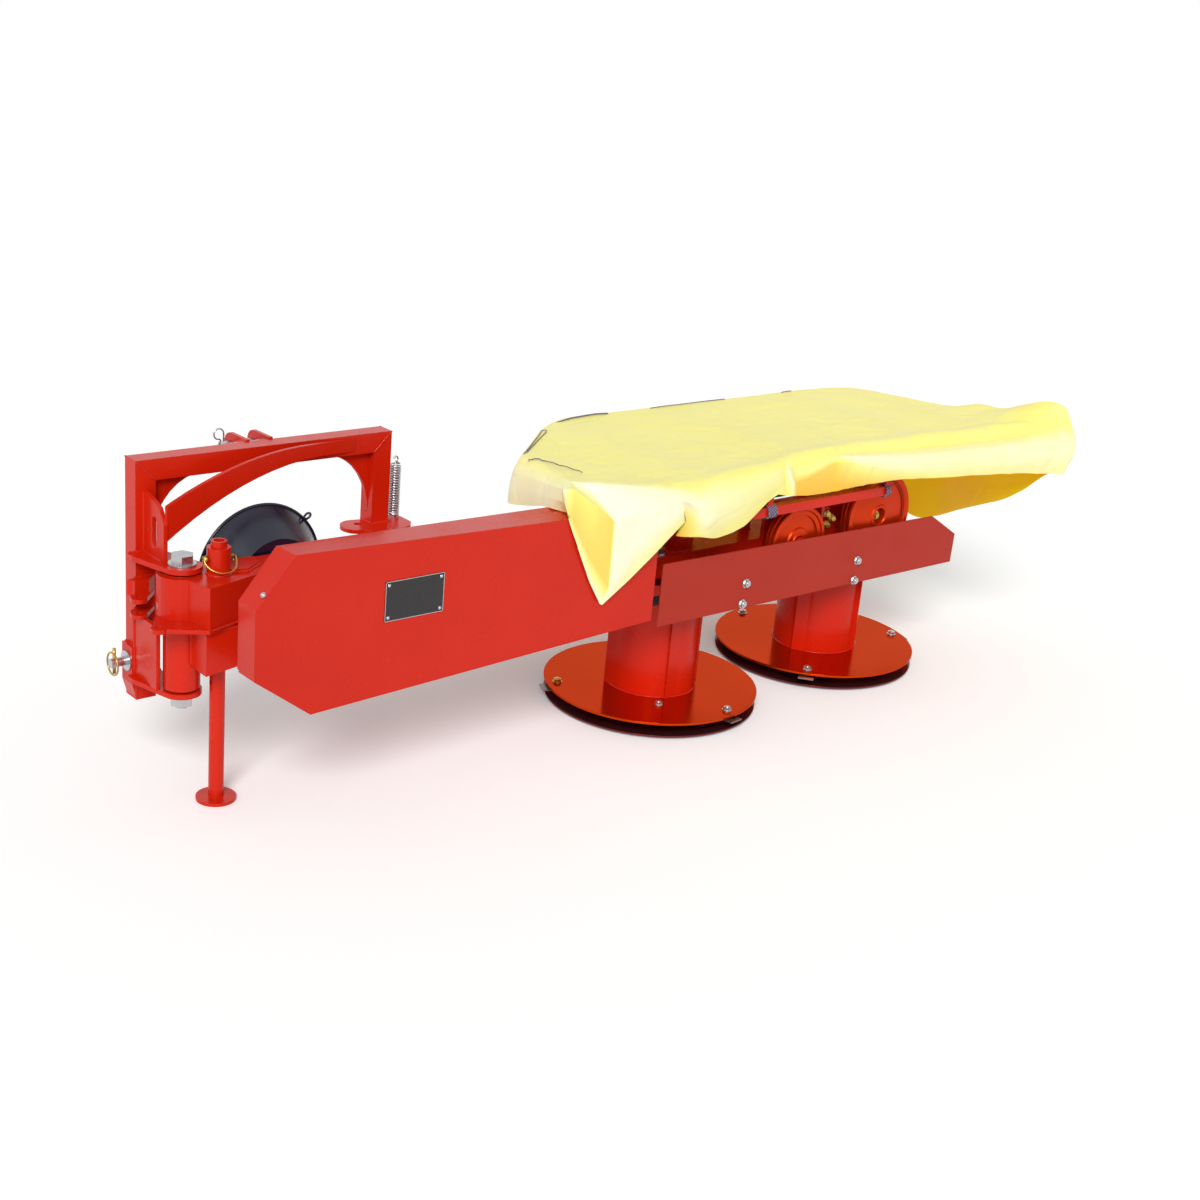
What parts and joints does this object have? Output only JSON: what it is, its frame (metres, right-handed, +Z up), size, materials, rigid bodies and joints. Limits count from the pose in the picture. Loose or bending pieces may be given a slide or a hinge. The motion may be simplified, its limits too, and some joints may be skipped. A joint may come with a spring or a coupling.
{
  "type": "rotary mower",
  "caption": "Two-drum rotary mower offset from a three-point hitch gate, with belt guard, swing hinge, parking stand and tarpaulin canopy.",
  "frame": {"origin": "middle of the footprint, on the floor", "axes": "+X from the hitch gate out along the drums, +Y forwards to the tractor, +Z up"},
  "size_m": [2.7476, 0.78, 0.797],
  "materials": {
    "red_paint": "gloss",
    "dish_paint": "gloss",
    "canopy_fabric": "satin",
    "zinc": "satin",
    "steel": "satin",
    "black_plastic": "satin",
    "belt_rubber": "matte",
    "plate": "satin"
  },
  "bodies": {
    "frame": {"hinge_sleeve": "red_paint", "arm_beam": "red_paint", "arm_web": "red_paint", "stand_socket": "red_paint", "bearing_housing": "red_paint", "pto_cone": "black_plastic", "guard_back": "red_paint", "guard_cover": "red_paint", "nameplate": "plate", "drum_panel": "red_paint", "head_beam": "red_paint", "gearbox_left": "red_paint", "gearbox_right": "red_paint", "canopy_rails": "red_paint", "canopy_bows": "red_paint", "canopy_posts": "red_paint", "canopy": "canopy_fabric", "tensioner": "red_paint", "drive_belts": "belt_rubber"},
    "hitch": {"top_bar": "red_paint", "left_post": "red_paint", "right_post": "red_paint", "arch_gussets": "red_paint", "diagonal_brace": "red_paint", "cheek_plate": "red_paint", "hinge_fork": "red_paint", "lock_ears": "red_paint", "lower_pins": "zinc", "top_link_ears": "red_paint", "top_link_pin": "zinc", "latch_plate": "red_paint", "latch_spring": "zinc", "hinge_bolt": "zinc"},
    "stand": {"stand_leg": "red_paint"},
    "input_drive": {"pto_shaft": "steel"},
    "driven_drive": {"driven_pulley": "red_paint"},
    "idler": {"idler_pulley": "red_paint"},
    "drum_left": {"drum_1": "red_paint", "disc_1": "red_paint", "knives_1": "steel"},
    "skid_left": {"dish_1": "dish_paint"},
    "drum_right": {"drum_2": "red_paint", "disc_2": "red_paint", "knives_2": "steel"},
    "skid_right": {"dish_2": "dish_paint"}
  },
  "joints": [
    {"name": "hitch_swing", "type": "hinge", "parent": "frame", "child": "hitch", "pos_m": [-1.2685, 0.102, 0.424], "axis": [0, 0, 1], "range_deg": [0, 90]},
    {"name": "stand_slide", "type": "slide", "parent": "frame", "child": "stand", "axis": [0, 0, 1], "range_m": [0, 0.24]},
    {"name": "input_spin", "type": "hinge", "parent": "frame", "child": "input_drive", "pos_m": [-1.0015, 0.01, 0.487], "axis": [0, 1, 0], "continuous": true},
    {"name": "driven_spin", "type": "hinge", "parent": "frame", "child": "driven_drive", "pos_m": [0.8105, -0.15, 0.489], "axis": [0, 1, 0], "continuous": true},
    {"name": "idler_spin", "type": "hinge", "parent": "frame", "child": "idler", "pos_m": [0.4755, -0.15, 0.458], "axis": [0, 1, 0], "continuous": true},
    {"name": "drum_left_spin", "type": "hinge", "parent": "frame", "child": "drum_left", "pos_m": [0.1335, 0.01, 0.2], "axis": [0, 0, 1], "continuous": true},
    {"name": "drum_right_spin", "type": "hinge", "parent": "frame", "child": "drum_right", "pos_m": [0.8085, 0.01, 0.2], "axis": [0, 0, 1], "continuous": true},
    {"name": "skid_left_spin", "type": "hinge", "parent": "frame", "child": "skid_left", "pos_m": [0.1335, 0.01, 0.015], "axis": [0, 0, 1], "continuous": true},
    {"name": "skid_right_spin", "type": "hinge", "parent": "frame", "child": "skid_right", "pos_m": [0.8085, 0.01, 0.015], "axis": [0, 0, 1], "continuous": true}
  ],
  "couplings": [
    {"joint": "drum_right_spin", "follows": "drum_left_spin", "ratio": -1},
    {"joint": "driven_spin", "follows": "drum_left_spin", "ratio": 0.5},
    {"joint": "input_spin", "follows": "drum_left_spin", "ratio": 0.4214},
    {"joint": "idler_spin", "follows": "drum_left_spin", "ratio": 0.6556}
  ]
}
